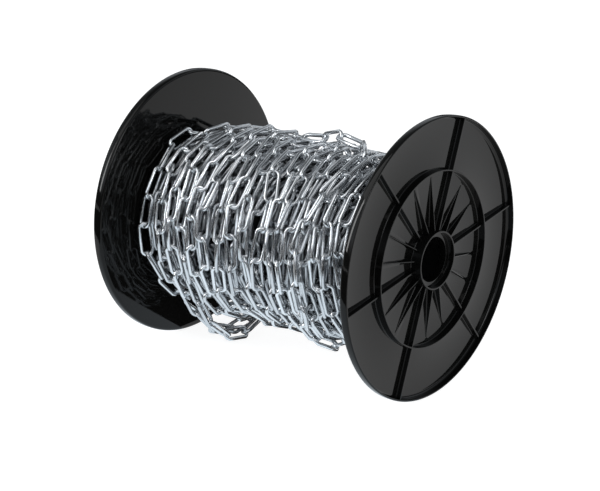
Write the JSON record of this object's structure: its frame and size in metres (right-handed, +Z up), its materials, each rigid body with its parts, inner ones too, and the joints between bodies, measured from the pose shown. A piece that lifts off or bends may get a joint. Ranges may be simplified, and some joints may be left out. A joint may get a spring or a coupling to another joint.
{
  "type": "reel of steel chain",
  "caption": "Long-link steel chain wound in layers on a black moulded reel with ribbed round flanges and a spindle bore through its middle, lying on its flange rims.",
  "frame": {"origin": "on the floor below the middle of the reel's axis, with the reel lying on the rims of both flanges", "axes": "+X along the reel's axis towards flange_right, +Z up"},
  "size_m": [0.3472, 0.2996, 0.2996],
  "materials": {
    "black_plastic": "moulded, satin gloss",
    "barrel_plastic": "moulded, matt",
    "zinc_plated_steel": "bright zinc plate on drawn wire"
  },
  "bodies": {
    "root": {"flange_right": "black_plastic", "flange_left": "black_plastic", "barrel": "barrel_plastic", "chain_inner_turns": "zinc_plated_steel", "chain_outer_turns": "zinc_plated_steel", "chain_loose_1_01": "zinc_plated_steel", "chain_loose_1_02": "zinc_plated_steel", "chain_loose_1_03": "zinc_plated_steel", "chain_loose_1_04": "zinc_plated_steel", "chain_loose_1_05": "zinc_plated_steel", "chain_loose_1_06": "zinc_plated_steel", "chain_loose_2_01": "zinc_plated_steel", "chain_loose_2_02": "zinc_plated_steel", "chain_loose_2_03": "zinc_plated_steel", "chain_loose_2_04": "zinc_plated_steel", "chain_loose_2_05": "zinc_plated_steel", "chain_loose_2_06": "zinc_plated_steel", "chain_loose_2_07": "zinc_plated_steel", "chain_loose_2_08": "zinc_plated_steel", "chain_loose_3_01": "zinc_plated_steel", "chain_loose_3_02": "zinc_plated_steel", "chain_loose_3_03": "zinc_plated_steel", "chain_loose_3_04": "zinc_plated_steel", "chain_loose_3_05": "zinc_plated_steel", "chain_loose_3_06": "zinc_plated_steel", "chain_loose_3_07": "zinc_plated_steel", "chain_loose_3_08": "zinc_plated_steel", "chain_link_01": "zinc_plated_steel", "chain_link_02": "zinc_plated_steel", "chain_link_03": "zinc_plated_steel", "chain_link_04": "zinc_plated_steel", "chain_link_05": "zinc_plated_steel", "chain_link_06": "zinc_plated_steel", "chain_link_07": "zinc_plated_steel", "chain_link_08": "zinc_plated_steel", "chain_link_09": "zinc_plated_steel", "chain_link_10": "zinc_plated_steel", "chain_link_11": "zinc_plated_steel", "chain_link_12": "zinc_plated_steel", "chain_link_13": "zinc_plated_steel", "chain_link_14": "zinc_plated_steel"}
  },
  "joints": []
}
